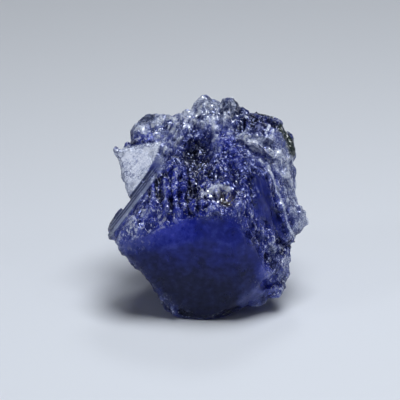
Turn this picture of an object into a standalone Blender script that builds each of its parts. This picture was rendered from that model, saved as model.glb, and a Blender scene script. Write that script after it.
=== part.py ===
"""Rough tanzanite: one lump of violet-blue crystal, broken from its pocket and resting on a small flat.

The lump is laid out as it is seen from the front and a little above, in millimetres:
across to the right, up the view, and out towards the viewer. It is cleaved from convex blocks that have
grown together, its broken skin is carved on a fine grid, and it is then tipped back by VIEW_TILT,
so that its flat lies level, and set down with the origin under the middle of the lump.
"""

import math

import bmesh
import bpy
from mathutils import Matrix, Vector, noise

MM = 0.001
NAME = "tanzanite_crystal"
COLLECTION = "rough_tanzanite"

VIEW_TILT = math.radians(22)  # how far above the horizon the front view looks from
REST_UP = 1.0  # where the resting plane meets the middle of the layout, up the view
MIDDLE = (0.0, 3.5)  # the middle of the tipped lump, across and away from the viewer
BLANK_SIDE = 60.0  # the cube that each block is cleaved from
BLANK_MIDDLE = (0.0, 10.0, 0.0)
SAME_POINT = 0.0001  # corners nearer to each other than this are one corner
CLEAR_OF_REST = (0.05, 0.8)  # the skin is smooth on the flat and fully carved this far above it
LEVEL_WITHIN = 0.04  # what lies this near the resting plane is part of the flat
GRID = 0.2  # spacing of the points that the skin is carved on
GRID_FILLED = 0.9  # the most of the grid's width that the lump takes up
VOXEL = 0.12  # how finely the carved skin is wrapped
TRIANGLES = 7600  # what the wrapped lump is thinned to

# Each block is what is left of a cube after it is cleaved: along the edges of its outline, which runs
# clockwise as (across, up, out), and then along its faces, each a point and the way the face looks.
# The edges lean in by "leans" degrees, towards the viewer in front of the outline and away behind it.
BLOCKS = {
    "body": {
        "leans": (25, -13),
        "outline": [
            (-8.5, 7.2, 4.8), (-4.5, 13.1, 3.3), (-1.8, 16.9, 0.8), (2.3, 17.7, -0.2), (5.3, 15.6, -0.2),
            (6.9, 12.0, 0.4), (7.1, 6.0, 1.0), (6.0, 3.0, 1.6), (3.6, 1.2, 2.2), (1.3, 0.2, 2.4),
            (-0.3, -0.1, 2.4), (-1.9, 0.0, 2.3), (-3.3, 0.55, 2.3), (-5.0, 2.65, 3.4), (-7.5, 5.8, 4.9),
        ],
        "faces": [
            ((-2.0, 8.0, 6.9), (-0.25, -0.05, 1)),
            ((1.0, 8.0, 7.25), (0.05, -0.1, 1)),
            ((3.5, 6.0, 6.8), (0.45, -0.25, 1)),
            ((-1.7, 7.0, 6.93), (-0.11, -0.62, 1)),
            ((-4.0, 4.5, 5.9), (-0.4, -0.7, 1)),
            ((4.5, 3.5, 4.3), (0.5, -0.55, 1)),
            ((0.0, 9.8, 7.3), (0.0, 0.85, 1)),
            ((-4.0, 10.5, 5.9), (-0.25, 0.8, 1)),
            ((4.0, 11.0, 5.6), (0.8, 0.6, 1)),
            ((5.4, 9.0, 4.3), (1.0, 0.05, 0.9)),
            ((0.0, 9.0, -6.4), (0.1, 0.25, -1)),
            ((0.0, 4.5, -5.6), (0.05, -0.45, -1)),
            ((0.0, 15.0, -5.0), (0.1, 0.8, -1)),
            ((-5.5, 9.0, -3.6), (-0.8, 0.1, -1)),
            ((5.2, 9.0, -4.4), (0.9, -0.1, -1)),
        ],
    },
    "front_lamella": {
        "leans": (15, -12),
        "outline": [
            (-8.75, 7.5, 3.6), (-8.75, 8.1, 3.6), (-4.45, 13.3, 2.6), (-3.0, 14.7, 1.8), (-2.0, 12.0, 2.5),
            (-6.5, 6.2, 3.6),
        ],
        "faces": [
            ((-8.5, 7.9, 4.35), (-0.15, 0.22, 1)),
            ((-7.0, 10.0, 0.6), (-0.3, -0.4, -1)),
        ],
    },
    "rear_lamella": {
        "leans": (15, -12),
        "outline": [
            (-8.8, 7.8, 2.8), (-8.8, 8.55, 2.8), (-4.5, 13.75, 2.2), (-3.0, 15.1, 1.6), (-2.0, 12.0, 2.2),
            (-6.5, 6.4, 2.8),
        ],
        "faces": [
            ((-8.4, 8.6, 3.45), (-0.15, 0.1, 1)),
            ((-7.0, 10.0, 0.0), (-0.3, -0.4, -1)),
        ],
    },
    "facet_slab": {
        "leans": (12, -30),
        "outline": [
            (-7.2, 9.8, 1.6), (-7.5, 11.4, 1.2), (-8.2, 12.7, 0.9), (-8.45, 14.0, 0.6), (-8.2, 14.9, 0.4),
            (-7.7, 15.6, 0.4), (-6.4, 16.0, 0.4), (-4.0, 16.4, 0.6), (-2.0, 14.0, 1.0), (-3.5, 10.5, 1.5),
        ],
        "faces": [
            ((-6.2, 13.0, 2.2), (-0.45, 0.3, 1)),
            ((-6.5, 13.0, -2.6), (-0.45, 0.1, -1)),
        ],
    },
    "left_cluster": {
        "leans": (20, -20),
        "outline": [
            (-7.0, 15.3, -0.6), (-7.15, 17.3, -0.8), (-6.5, 17.8, -0.8), (-5.0, 18.25, -0.9),
            (-2.0, 18.6, -1.0), (-0.8, 17.0, -0.6), (-1.5, 14.0, 0.0), (-5.5, 14.0, 0.0),
        ],
        "faces": [
            ((-4.5, 16.6, 1.1), (-0.2, 0.55, 1)),
            ((-4.0, 16.0, -4.2), (-0.15, 0.3, -1)),
        ],
    },
    "corner_crystal": {
        "leans": (15, -15),
        "outline": [
            (-7.1, 15.6, 0.3), (-7.25, 16.9, 0.2), (-6.7, 17.6, 0.2), (-5.6, 17.5, 0.3), (-5.2, 15.6, 0.5),
        ],
        "faces": [
            ((-6.2, 16.6, 1.35), (-0.1, 0.15, 1)),
            ((-6.2, 16.6, -1.6), (-0.3, 0.1, -1)),
        ],
    },
    "peak": {
        "leans": (20, -22),
        "outline": [
            (-2.4, 17.6, -1.6), (-1.2, 19.4, -1.9), (-0.5, 20.2, -2.0), (0.9, 19.75, -2.0),
            (2.7, 19.35, -2.0), (3.6, 18.7, -1.9), (3.8, 15.5, -1.0), (-2.0, 15.0, -1.0),
        ],
        "faces": [
            ((0.4, 18.4, 0.25), (-0.1, 0.45, 1)),
            ((0.6, 17.5, -4.8), (0.1, 0.3, -1)),
        ],
    },
    "peak_crystal": {
        "leans": (8, -18),
        "outline": [
            (1.0, 16.6, -0.6), (0.9, 19.3, -1.0), (1.6, 19.75, -1.1), (2.5, 19.3, -1.0), (2.6, 16.4, -0.6),
        ],
        "faces": [
            ((1.8, 18.0, 0.95), (0.25, 0.2, 1)),
            ((1.8, 18.0, -3.0), (0.0, 0.2, -1)),
        ],
    },
    "right_shoulder": {
        "leans": (18, -25),
        "outline": [
            (2.6, 18.7, -1.3), (4.4, 18.85, -1.3), (6.3, 17.75, -1.3), (7.45, 16.2, -1.2),
            (7.85, 14.5, -1.0), (7.3, 13.6, -0.8), (5.0, 13.0, 0.0), (2.6, 14.5, 0.0),
        ],
        "faces": [
            ((5.2, 15.8, 1.9), (0.2, 0.5, 1)),
            ((5.0, 15.5, -4.6), (0.45, 0.3, -1)),
        ],
    },
    "light_band": {
        "leans": (20, -30),
        "outline": [
            (2.2, 16.0, 2.0), (3.2, 17.0, 1.6), (7.4, 14.6, 0.8), (7.6, 13.4, 0.6), (5.6, 13.6, 1.2),
        ],
        "faces": [
            ((4.6, 15.3, 3.1), (0.25, 0.5, 1)),
            ((5.0, 15.0, -0.5), (0.2, 0.2, -1)),
        ],
    },
    "right_fringe": {
        "leans": (22, -30),
        "outline": [
            (4.2, 15.2, 0.4), (7.5, 14.5, 0.0), (7.75, 13.2, 0.1), (7.95, 11.7, 0.2), (7.8, 9.0, 0.4),
            (5.0, 8.5, 0.8), (3.9, 12.0, 0.6),
        ],
        "faces": [
            ((7.1, 11.5, 2.5), (0.55, 0.2, 1)),
            ((7.0, 11.0, -2.4), (0.6, 0.1, -1)),
        ],
    },
    "fringe_lobe": {
        "leans": (25, -28),
        "outline": [
            (5.0, 11.0, 0.4), (7.9, 11.7, 0.2), (8.4, 10.5, 0.2), (8.75, 9.4, 0.3), (8.9, 8.9, 0.3),
            (8.65, 7.85, 0.4), (8.05, 7.2, 0.5), (6.5, 6.0, 0.9), (5.0, 7.0, 1.0),
        ],
        "faces": [
            ((7.8, 9.2, 2.2), (0.6, 0.0, 1)),
            ((7.4, 9.0, -2.2), (0.5, 0.0, -1)),
        ],
    },
    "right_knob": {
        "leans": (30, -18),
        "outline": [
            (4.8, 6.6, 1.4), (7.4, 6.5, 1.2), (7.5, 5.2, 1.3), (7.2, 4.0, 1.4), (6.4, 3.4, 1.6),
            (4.5, 3.2, 2.0),
        ],
        "faces": [
            ((6.2, 4.8, 3.9), (0.5, -0.15, 1)),
            ((5.6, 5.0, -3.4), (0.4, -0.4, -1)),
        ],
    },
    "right_foot": {
        "leans": (30, -20),
        "outline": [
            (3.0, 4.0, 1.6), (6.3, 3.5, 1.6), (6.65, 2.75, 1.6), (6.15, 2.1, 1.7), (4.8, 1.5, 1.8),
            (3.4, 1.05, 2.0), (1.5, 0.8, 2.2),
        ],
        "faces": [
            ((4.8, 2.6, 3.6), (0.35, -0.5, 1)),
            ((4.5, 3.0, -2.2), (0.3, -0.5, -1)),
        ],
    },
    "left_foot": {
        "leans": (20, -12),
        "outline": [
            (-4.45, 2.3, 2.6), (-3.2, 3.0, 2.6), (-1.2, 2.0, 2.6), (-1.4, 0.2, 2.4), (-1.9, -0.05, 2.3),
            (-3.35, 0.4, 2.2), (-4.25, 1.3, 2.3),
        ],
        "faces": [
            ((-3.6, 1.3, 3.5), (0.25, -0.5, 1)),
            ((-2.5, 3.0, -3.0), (-0.2, -0.2, -1)),
        ],
    },
    "back_plate": {
        "leans": (10, -24),
        "outline": [
            (-6.0, 7.0, -3.0), (-5.2, 12.6, -3.4), (0.4, 15.4, -3.8), (2.4, 11.8, -3.8), (1.2, 3.8, -3.2),
            (-2.6, 2.8, -3.0),
        ],
        "faces": [
            ((0.0, 9.0, 0.0), (0.0, 0.0, 1)),
            ((-1.0, 9.0, -7.5), (-0.22, 0.12, -1)),
        ],
    },
    "back_ridge": {
        "leans": (10, -30),
        "outline": [
            (1.4, 5.0, -3.0), (1.6, 11.5, -3.4), (3.4, 13.4, -3.2), (5.6, 10.5, -2.4), (5.8, 6.0, -2.2),
            (4.0, 3.4, -2.6),
        ],
        "faces": [
            ((3.0, 9.0, 0.0), (0.0, 0.0, 1)),
            ((3.4, 8.5, -6.9), (0.45, -0.15, -1)),
        ],
    },
}

# Patches of the front, as outlines that run clockwise through (across, up), where the skin is a clean
# cleavage face. Around them it is broken into small crystal faces.
CLEAN_PATCHES = {
    "front face": [
        (-8.9, 7.6), (-5.2, 9.1), (1.2, 9.5), (3.0, 8.4), (5.2, 5.6), (6.0, 2.5), (4.0, 0.6), (-1.0, -0.4),
        (-5.0, 2.2), (-9.0, 7.2),
    ],
    "bright facet": [(-8.3, 15.0), (-4.3, 16.0), (-5.2, 13.0), (-7.0, 9.8), (-8.2, 12.8)],
    "lamellae": [(-9.4, 7.4), (-9.2, 9.0), (-4.7, 15.0), (-3.8, 14.4), (-3.9, 12.9), (-8.2, 6.6)],
    "shoulder face": [(3.6, 17.9), (5.4, 18.1), (5.4, 16.5), (3.9, 16.5)],
    "dark hollow": [(4.2, 12.6), (5.4, 12.4), (7.3, 7.2), (6.6, 6.4), (4.4, 9.0)],
}
PATCH_EDGE = 0.7  # how far the skin takes to turn from clean to broken
BACK_CLEAN_UP = (4.5, 12.0)  # between these heights the back is a clean cleavage face
BACK_EDGE = 1.0
# How squarely a face looks to the front, or to the back, where it starts to belong there and where it does.
FACING_FRONT = (-0.1, 0.35)
FACING_BACK = (0.55, 0.8)

# The broken skin is a patchwork of small faces, each tilted and lifted by chance within its own cell.
CRYSTALS = {"cell": 1.5, "stretch": (1.0, 1.5, 1.0), "depth": 0.5, "tilt": 1.6}
TILT_SEED = 17.0
LIFT_SEED = 23.0
# Clean faces swell slightly.
WAVES = {"length": 3.2, "depth": 0.12}
# Every other relief has its patch of the front, a spacing, a wander (share of the spacing, and length over
# which it changes) and a depth.
FLUTES = {
    "patch": [(-6.6, 9.6), (-6.0, 13.2), (0.6, 14.2), (1.4, 9.8)],
    "slant": 0.14,
    "slant_from": 11.0,
    "spacing": 1.25,
    "wander": (0.5, 2.0),
    "depth": 0.5,
    "rise": 0.4,
}
RIBS = {
    "patch": [(3.2, 14.2), (6.6, 13.6), (7.6, 7.0), (5.4, 4.6), (2.6, 8.6)],
    "centre": (11.8, 13.3),
    "spacing": 1.15,
    "wander": (0.35, 2.2),
    "steepness": 1.5,
    "depth": 0.4,
    "calm": 0.65,
}
BAND_RIDGES = {
    "patch": [(2.4, 16.4), (3.4, 17.2), (7.6, 14.6), (7.6, 13.4), (5.0, 13.9)],
    "line": ((2.8, 16.6), (7.3, 13.8)),
    "spacing": 0.8,
    "wander": (0.3, 1.4),
    "depth": 0.3,
}
HOLLOW_WALL = (0.35, 1.15)  # where a hollow's floor ends and its rim lies, as shares of its half size
# Hollows in the front, each as its middle (across, up), its half width and half height, and its depth.
HOLLOWS = {
    "dark pocket": ((-1.0, 14.9), (1.7, 2.3), 1.5),
    "pocket tail": ((-1.4, 12.2), (0.8, 1.7), 0.7),
    "grey grain": ((1.15, 11.0), (1.0, 1.0), 0.75),
    "glint hollow": ((5.6, 5.7), (0.8, 0.9), 0.7),
    "left gap": ((-4.6, 11.3), (0.45, 1.5), 0.5),
    "foot gap": ((5.1, 2.9), (0.6, 0.9), 0.35),
}

COLOUR = (0.025, 0.032, 0.19, 1.0)
ROUGHNESS = 0.22
REFRACTION = 1.69
CLARITY = 0.9  # the share of the light that isn't reflected and goes in


def edge_face(start, end, lean):
    """A plane through one edge of an outline, leaning towards the viewer by lean degrees."""
    along = (end - start).normalized()
    outward = Vector((-along.y, along.x, 0)).normalized()
    outward = (outward - along * outward.dot(along)).normalized()
    towards = outward.cross(along)
    if towards.z < 0:
        towards = -towards
    angle = math.radians(lean)
    return (start + end) / 2, outward * math.cos(angle) + towards * math.sin(angle)


def cleave(blank, through, facing):
    """Splits the blank along one plane, drops what lies beyond it and closes the break."""
    everything = blank.verts[:] + blank.edges[:] + blank.faces[:]
    split = bmesh.ops.bisect_plane(
        blank, geom=everything, plane_co=through, plane_no=Vector(facing).normalized(), clear_outer=True
    )
    rim = [part for part in split["geom_cut"] if isinstance(part, bmesh.types.BMEdge)]
    if rim:
        bmesh.ops.edgeloop_fill(blank, edges=rim)


def cleaved_block(name, leans, outline, faces):
    """One convex block of the lump, as an object."""
    blank = bmesh.new()
    bmesh.ops.create_cube(blank, size=BLANK_SIDE, matrix=Matrix.Translation(BLANK_MIDDLE))
    corners = [Vector(corner) for corner in outline]
    for start, end in zip(corners, corners[1:] + corners[:1]):
        for lean in leans:
            cleave(blank, *edge_face(start, end, lean))
    for through, facing in faces:
        cleave(blank, Vector(through), facing)
    bmesh.ops.remove_doubles(blank, verts=blank.verts, dist=SAME_POINT)
    bmesh.ops.recalc_face_normals(blank, faces=blank.faces)
    mesh = bpy.data.meshes.new(name)
    blank.to_mesh(mesh)
    blank.free()
    return bpy.data.objects.new(name, mesh)


def clear_scene():
    for obj in list(bpy.data.objects):
        bpy.data.objects.remove(obj)


def apply_modifiers(obj):
    """Replaces the object's mesh by the one that its modifiers make."""
    bpy.context.view_layer.update()
    graph = bpy.context.evaluated_depsgraph_get()
    made = bpy.data.meshes.new_from_object(obj.evaluated_get(graph))
    obj.modifiers.clear()
    obj.data = made


def grown_together(blocks, collection):
    """All blocks joined in one solid."""
    lump = blocks[0]
    for block in blocks:
        collection.objects.link(block)
    for block in blocks[1:]:
        union = lump.modifiers.new("grow " + block.name, "BOOLEAN")
        union.operation = "UNION"
        union.object = block
    apply_modifiers(lump)
    for block in blocks[1:]:
        bpy.data.objects.remove(block)
    return lump


def gridded(lump, spacing):
    """Covers the lump with an even grid of points that keeps its edges sharp."""
    cells = max(lump.dimensions) / spacing
    remesh = lump.modifiers.new("grid", "REMESH")
    remesh.mode = "SHARP"
    remesh.octree_depth = math.ceil(math.log2(cells / GRID_FILLED))
    remesh.scale = cells / 2**remesh.octree_depth
    remesh.use_remove_disconnected = False
    apply_modifiers(lump)


def smooth_step(low, high, value):
    share = min(max((value - low) / (high - low), 0.0), 1.0)
    return share * share * (3 - 2 * share)


def depth_inside(point, patch):
    """How far a point lies inside a convex patch of the front, and below zero outside it."""
    nearest = math.inf
    for start, end in zip(patch, patch[1:] + patch[:1]):
        run = (end[0] - start[0], end[1] - start[1])
        offset = (point.x - start[0], point.y - start[1])
        nearest = min(nearest, (run[1] * offset[0] - run[0] * offset[1]) / math.hypot(*run))
    return nearest


def within(point, patch):
    """1 inside a patch of the front and 0 outside it, with a soft edge."""
    return smooth_step(0, PATCH_EDGE, depth_inside(point, patch))


def above_rest(point):
    """How far a point of the layout lies above the resting plane."""
    return (point.y - REST_UP) * math.cos(VIEW_TILT) + point.z * math.sin(VIEW_TILT)


def on_front(normal):
    return smooth_step(*FACING_FRONT, normal.z)


def brokenness(point, normal):
    """How broken the skin is, from 0 on a clean face to 1."""
    clean = max(within(point, patch) for patch in CLEAN_PATCHES.values()) * on_front(normal)
    ribbed = RIBS["calm"] * within(point, RIBS["patch"]) * on_front(normal)
    low, high = BACK_CLEAN_UP
    back = smooth_step(low - BACK_EDGE, low, point.y) - smooth_step(high, high + BACK_EDGE, point.y)
    return 1 - max(clean, ribbed, back * smooth_step(*FACING_BACK, -normal.z))


def crystal_height(point, cell, stretch, depth, tilt):
    """A patchwork of small flat faces, each raised and tilted in its own way."""
    place = Vector([along / (cell * share) for along, share in zip(point, stretch)])
    middle = noise.voronoi(place)[1][0]
    lean = noise.cell_vector(middle * TILT_SEED) - Vector((0.5, 0.5, 0.5))
    return depth * (noise.cell(middle * LIFT_SEED) / 2 + tilt * lean.dot(place - middle))


def wander(point, share, length):
    """How far a line of the relief strays from its course, as a share of the spacing."""
    return share * noise.noise(point / length)


def crest(turn):
    """A wave of straight slopes, from 0 in the valley to 1 on the crest, once for each turn."""
    return abs(2 * (turn % 1) - 1)


def flute_height(point):
    """Upright grooves with sharp crests, side by side under the dark pocket."""
    beside = point.x + FLUTES["slant"] * (point.y - FLUTES["slant_from"])
    turn = beside / FLUTES["spacing"] + wander(point, *FLUTES["wander"])
    return FLUTES["depth"] * within(point, FLUTES["patch"]) * (crest(turn) - 1 + FLUTES["rise"])


def rib_height(point):
    """The rings of a shell-like break, stepping down from the right."""
    across, up = RIBS["centre"]
    reach = math.hypot(point.x - across, point.y - up)
    turn = reach / RIBS["spacing"] + wander(point, *RIBS["wander"])
    return RIBS["depth"] * within(point, RIBS["patch"]) * ((turn % 1) ** RIBS["steepness"] - 0.5)


def band_height(point):
    """Two or three slanting ridges on the light band at the upper right."""
    start, end = BAND_RIDGES["line"]
    run = (end[0] - start[0], end[1] - start[1])
    offset = (point.x - start[0], point.y - start[1])
    beside = (run[0] * offset[1] - run[1] * offset[0]) / math.hypot(*run)
    turn = beside / BAND_RIDGES["spacing"] + wander(point, *BAND_RIDGES["wander"])
    return BAND_RIDGES["depth"] * within(point, BAND_RIDGES["patch"]) * (crest(turn) - 0.5)


def hollow_depth(point):
    depth = 0
    for (across, up), (half_width, half_height), deepest in HOLLOWS.values():
        reach = math.hypot((point.x - across) / half_width, (point.y - up) / half_height)
        depth += deepest * (1 - smooth_step(*HOLLOW_WALL, reach))
    return depth


def skin_height(point, normal):
    """How far the skin stands out of the cleaved lump at one place."""
    height = brokenness(point, normal) * crystal_height(point, **CRYSTALS)
    height += WAVES["depth"] * noise.noise(point / WAVES["length"])
    carving = flute_height(point) + rib_height(point) + band_height(point) - hollow_depth(point)
    height += on_front(normal) * carving
    return height * smooth_step(*CLEAR_OF_REST, above_rest(point))


def carve(lump):
    """Moves each point of the grid along its normal by the height of the skin there."""
    carved = bmesh.new()
    carved.from_mesh(lump.data)
    carved.normal_update()
    moves = [vert.normal * skin_height(vert.co, vert.normal) for vert in carved.verts]
    for vert, move in zip(carved.verts, moves):
        vert.co += move
    carved.to_mesh(lump.data)
    carved.free()


def reskinned(lump, voxel):
    """Wraps the carved lump in one closed skin, which mends places where crystals cut into each other."""
    remesh = lump.modifiers.new("skin", "REMESH")
    remesh.mode = "VOXEL"
    remesh.voxel_size = voxel
    apply_modifiers(lump)


def thinned(lump, triangles):
    """Thins the grid, so that a flat place keeps few triangles and a broken one keeps many."""
    lump.data.calc_loop_triangles()
    decimate = lump.modifiers.new("thin", "DECIMATE")
    decimate.ratio = triangles / len(lump.data.loop_triangles)
    decimate.use_collapse_triangulate = True
    apply_modifiers(lump)


def world_from_layout():
    """Tips the layout back on its flat, brings its middle over the origin and turns it to metres."""
    tip = Matrix.Rotation(math.pi / 2 - VIEW_TILT, 4, "X") @ Matrix.Translation((0, -REST_UP, 0))
    return Matrix.Scale(MM, 4) @ Matrix.Translation((-MIDDLE[0], -MIDDLE[1], 0)) @ tip


def cut_level(lump):
    """Cuts the flat that the lump rests on."""
    solid = bmesh.new()
    solid.from_mesh(lump.data)
    cleave(solid, Vector((0, REST_UP, 0)), (0, -math.cos(VIEW_TILT), -math.sin(VIEW_TILT)))
    solid.to_mesh(lump.data)
    solid.free()


def set_down(lump):
    """Tips the lump on its flat, whose points are brought back to exactly level."""
    lump.data.transform(world_from_layout())
    for vert in lump.data.vertices:
        if vert.co.z < LEVEL_WITHIN * MM:
            vert.co.z = 0


def crystal_material():
    """Clear violet-blue crystal."""
    material = bpy.data.materials.new("tanzanite")
    material.use_nodes = True
    shader = material.node_tree.nodes["Principled BSDF"]
    shader.inputs["Base Color"].default_value = COLOUR
    shader.inputs["Roughness"].default_value = ROUGHNESS
    shader.inputs["Metallic"].default_value = 0.0
    shader.inputs["IOR"].default_value = REFRACTION
    shader.inputs["Transmission Weight"].default_value = CLARITY
    return material


def main():
    clear_scene()
    collection = bpy.data.collections.new(COLLECTION)
    bpy.context.scene.collection.children.link(collection)
    blocks = [cleaved_block(name, **shape) for name, shape in BLOCKS.items()]
    lump = grown_together(blocks, collection)
    lump.name = NAME
    cut_level(lump)
    gridded(lump, GRID)
    carve(lump)
    reskinned(lump, VOXEL)
    thinned(lump, TRIANGLES)
    set_down(lump)
    lump.data.materials.clear()
    lump.data.materials.append(crystal_material())
    print(NAME, len(lump.data.polygons), "faces")


if __name__ == "__main__":
    main()
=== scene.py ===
"""Rough tanzanite: the fine broken skin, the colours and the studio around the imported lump.

Places on the stone are given as it is seen from the front and a little above, in millimetres: across to
the right, up the view, and out towards the viewer. LAYOUT turns them into the frame's metres.
"""

import math
from types import SimpleNamespace

import bmesh
import bpy
import numpy as np
from bpy.props import FloatProperty, FloatVectorProperty, IntProperty, PointerProperty
from mathutils import Matrix, Vector, noise


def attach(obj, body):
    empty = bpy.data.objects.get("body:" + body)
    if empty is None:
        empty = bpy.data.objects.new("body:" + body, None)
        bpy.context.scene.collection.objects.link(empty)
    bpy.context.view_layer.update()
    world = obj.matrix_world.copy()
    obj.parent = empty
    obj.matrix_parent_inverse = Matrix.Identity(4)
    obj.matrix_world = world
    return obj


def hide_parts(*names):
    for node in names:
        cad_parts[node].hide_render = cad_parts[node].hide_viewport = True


bl_info = {
    "name": "Rough Tanzanite",
    "version": (1, 0, 0),
    "blender": (4, 5, 0),
    "location": "3D View > Sidebar > Tanzanite",
    "description": "Finishes a rough tanzanite crystal and lights it on a pale studio floor",
    "category": "Add Mesh",
}

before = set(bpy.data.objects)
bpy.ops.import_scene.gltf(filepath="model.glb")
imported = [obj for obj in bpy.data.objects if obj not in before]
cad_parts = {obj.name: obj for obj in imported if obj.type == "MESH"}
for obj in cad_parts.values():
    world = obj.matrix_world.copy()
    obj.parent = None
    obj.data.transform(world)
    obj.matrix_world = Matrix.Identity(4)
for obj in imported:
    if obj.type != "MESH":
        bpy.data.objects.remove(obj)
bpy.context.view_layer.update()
NODE = "tanzanite_crystal"

MM = 0.001
VIEW_TILT = math.radians(22)  # how far above the horizon the front view looks from
REST_UP = 1.0  # where the resting plane meets the middle of the layout, up the view
MIDDLE = (0.0, 3.5)  # the middle of the tipped lump, across and away from the viewer
VIEW_CENTRE = (-0.81, 10.62, 0.0)  # what the camera looks at, in the layout
LAYOUT = (
    Matrix.Scale(MM, 4)
    @ Matrix.Translation((-MIDDLE[0], -MIDDLE[1], 0))
    @ Matrix.Rotation(math.pi / 2 - VIEW_TILT, 4, "X")
    @ Matrix.Translation((0, -REST_UP, 0))
)

# Patches of the front, as outlines that run clockwise through (across, up).
FACET = [
    (-8.9, 15.2), (-6.2, 15.75), (-4.1, 15.9), (-4.9, 14.0),
    (-6.0, 11.9), (-6.9, 10.8), (-7.6, 10.6), (-8.6, 13.6),
]
FLUTED = [(-6.6, 9.6), (-5.0, 13.6), (-1.0, 14.4), (1.0, 12.6), (1.0, 9.4), (-3.4, 9.0)]
RINGED = [(3.2, 14.2), (6.6, 13.6), (7.6, 7.0), (5.4, 4.6), (2.6, 8.6)]
STREAKED = [(-5.4, 15.0), (-3.2, 18.6), (0.2, 18.8), (-0.8, 16.2), (-3.4, 14.2)]
# The patches where the skin is clean.
CLEAN_PATCHES = {
    "front face": [
        (-9.0, 7.0), (-7.0, 7.7), (-5.0, 8.7), (-3.0, 9.6), (1.0, 9.8), (3.0, 8.6), (5.2, 5.6), (6.0, 2.5),
        (4.0, 0.6), (-1.0, -0.4), (-5.0, 2.2),
    ],
    "bright facet": FACET,
    "lamellae": [(-9.4, 7.4), (-9.2, 9.0), (-4.7, 15.0), (-3.8, 14.4), (-3.9, 12.9), (-8.2, 6.6)],
    "shoulder face": [(3.6, 17.9), (5.4, 18.1), (5.4, 16.5), (3.9, 16.5)],
    "dark hollow": [(3.4, 13.4), (4.6, 13.4), (5.6, 12.2), (7.3, 7.2), (6.6, 6.4), (4.4, 8.6), (3.2, 11.0)],
}
PATCH_EDGE = 0.9  # a clean patch is fully clean this far inside its outline
PATCH_FRAY = {"by": 0.5, "length": 1.1, "shift": 5.0}  # the noise that makes its outline ragged
BACK_CLEAN_UP = (4.5, 12.0)  # between which heights up the view the back has its clean face
BACK_EDGE = 1.0  # how far beyond them that face ends
# How far towards the viewer a normal turns where the front starts and where it is fully front.
FACING_FRONT = (-0.1, 0.35)
FACING_BACK = (0.55, 0.8)  # the same for the back's clean face, away from the viewer

# The slanting strip of thin lamellae at the left: its lower edge and its width, and the shares of its
# length and of its width between which it fades in and then out.
STRIP_LINE = ((-8.6, 7.4), (-4.4, 12.9))
STRIP_WIDTH = 0.8
STRIP_ALONG = ((-0.08, 0.0), (0.95, 1.1))
STRIP_ACROSS = ((-0.12, 0.02), (1.1, 1.25))
# The ridge beside the light band at the right, from its top down.
RIDGE_LINE = [(3.6, 15.2), (5.3, 13.5), (6.2, 11.1), (6.7, 10.0), (7.0, 8.3), (7.7, 7.2), (8.3, 5.0)]

# The fine crystals of the broken skin. Heights are in units of a crystal's width.
COARSE_CRYSTALS = {"stretch": (1.0, 2.0, 1.0), "height": 0.6, "shift": 0.0}
FINE_CRYSTALS = {"stretch": (1.0, 1.6, 1.0), "height": 0.45, "shift": 7.3}
CRYSTAL_SPREAD = 0.25  # by how much a crystal may lie above or below the others
CRYSTAL_LOWEST = -1.0  # the bottom of the deepest gap between them
CRYSTAL_LIFT = 0.3  # what is added, so that they don't make the lump smaller
CRYSTAL_BEND = {"by": 0.1, "length": 0.9, "shifts": (3.0, 13.0, 23.0)}  # the noise that bends their edges
CALMING = {"by": 0.35, "tone": (0.5, 0.7)}  # how much lower the coarse ones are where the stone is light
# What turns a place into numbers that look drawn by chance.
CHANCE_MIX = [[12.99, 78.23, 37.72], [39.35, 11.13, 83.15], [73.16, 52.24, 9.15]]
CHANCE_SCALE = 4375.85

# The rows of ridges in the fine skin, in millimetres from ridge to ridge.
WANDER_LENGTH = 1.6  # lumps of the noise that they wander by
FLUTES = {"step": 0.74, "wander": 0.35, "lean": 0.04, "sharpness": 0.7, "height": 0.34, "edge": 1.2}
RINGS = {"step": 0.62, "wander": 0.3, "sharpness": 0.8, "height": 0.2, "edge": 0.8}
RINGS_START = (-2.6, -1.6)  # how far left of the ridge the rings start and are full
RINGS_PAST_RIDGE = {"offset": (0.0, 0.3), "less": 0.5}  # how they get weaker to its right
# The streaks follow one another in the slanting direction that across and up give.
STREAKS = {"across": 0.82, "up": 0.57, "step": 0.55, "wander": 0.4, "height": 0.22, "edge": 0.8}
STRIP_RIDGES = {"count": 3.0, "start": 0.25, "height": 0.1}
CLEAR_OF_REST = (0.05, 0.6)  # the skin is smooth on the flat and fully carved this far above it

SAME_POINT = 1e-6  # corners nearer to each other than this many metres are one corner
SMOOTHED_BELOW = 0.4  # the most broken that the skin is where it is smoothed
SMOOTHING_ROUNDS = 30
SMOOTHING_FACTOR = 0.5
SHARP_ANGLE = math.radians(30)  # edges sharper than this are shaded as edges
# How far out of the smoothed surface a point stands: rounds of smoothing, and the height that counts as 1.
STANDING_OUT = {"crest": (8, 0.05), "bulge": (60, 0.2)}
STROKE_EDGE = (0.4, 1.15)  # where a stroke starts to fade and where it ends, in half widths
STROKE_FRAY = ((0.22, 0.9), (0.18, 0.35))  # the noises that fray it, each a strength and a length
# The bright facet is painted pale: partly its own lavender, partly painted sheen for the light that it
# mirrors.
FACET_TINT_AND_SHEEN = {"tone": 0.91, "blueness": 0.3}  # what the bright facet's masks say
FACET_EDGE = 0.15

# The textures of the material: a length in millimetres, how much finer detail it has, and its squeeze.
# The first ones swing from -0.5 to 0.5.
SWINGING = {
    "cloud": (1.5, 4.0, (1.0, 1.0, 0.7)),
    "streak": (0.7, 2.0, (1.0, 1.0, 0.4)),
    "mottle": (0.55, 4.0, (1.0, 1.0, 1.0)),
    "grit": (0.11, 2.0, (1.0, 1.0, 1.0)),
}
# These run from 0 to 1.
RISING = {"speck": (0.22, 2.0, (1.0, 1.0, 0.7)), "fibre": (0.36, 2.0, (1.0, 1.0, 0.55))}
# The smallest crystal faces, each a length in millimetres and its stretch.
LARGE_FACETS = (0.6, (1.0, 1.0, 2.0))
SMALL_FACETS = (0.22, (1.0, 1.0, 1.5))
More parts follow.
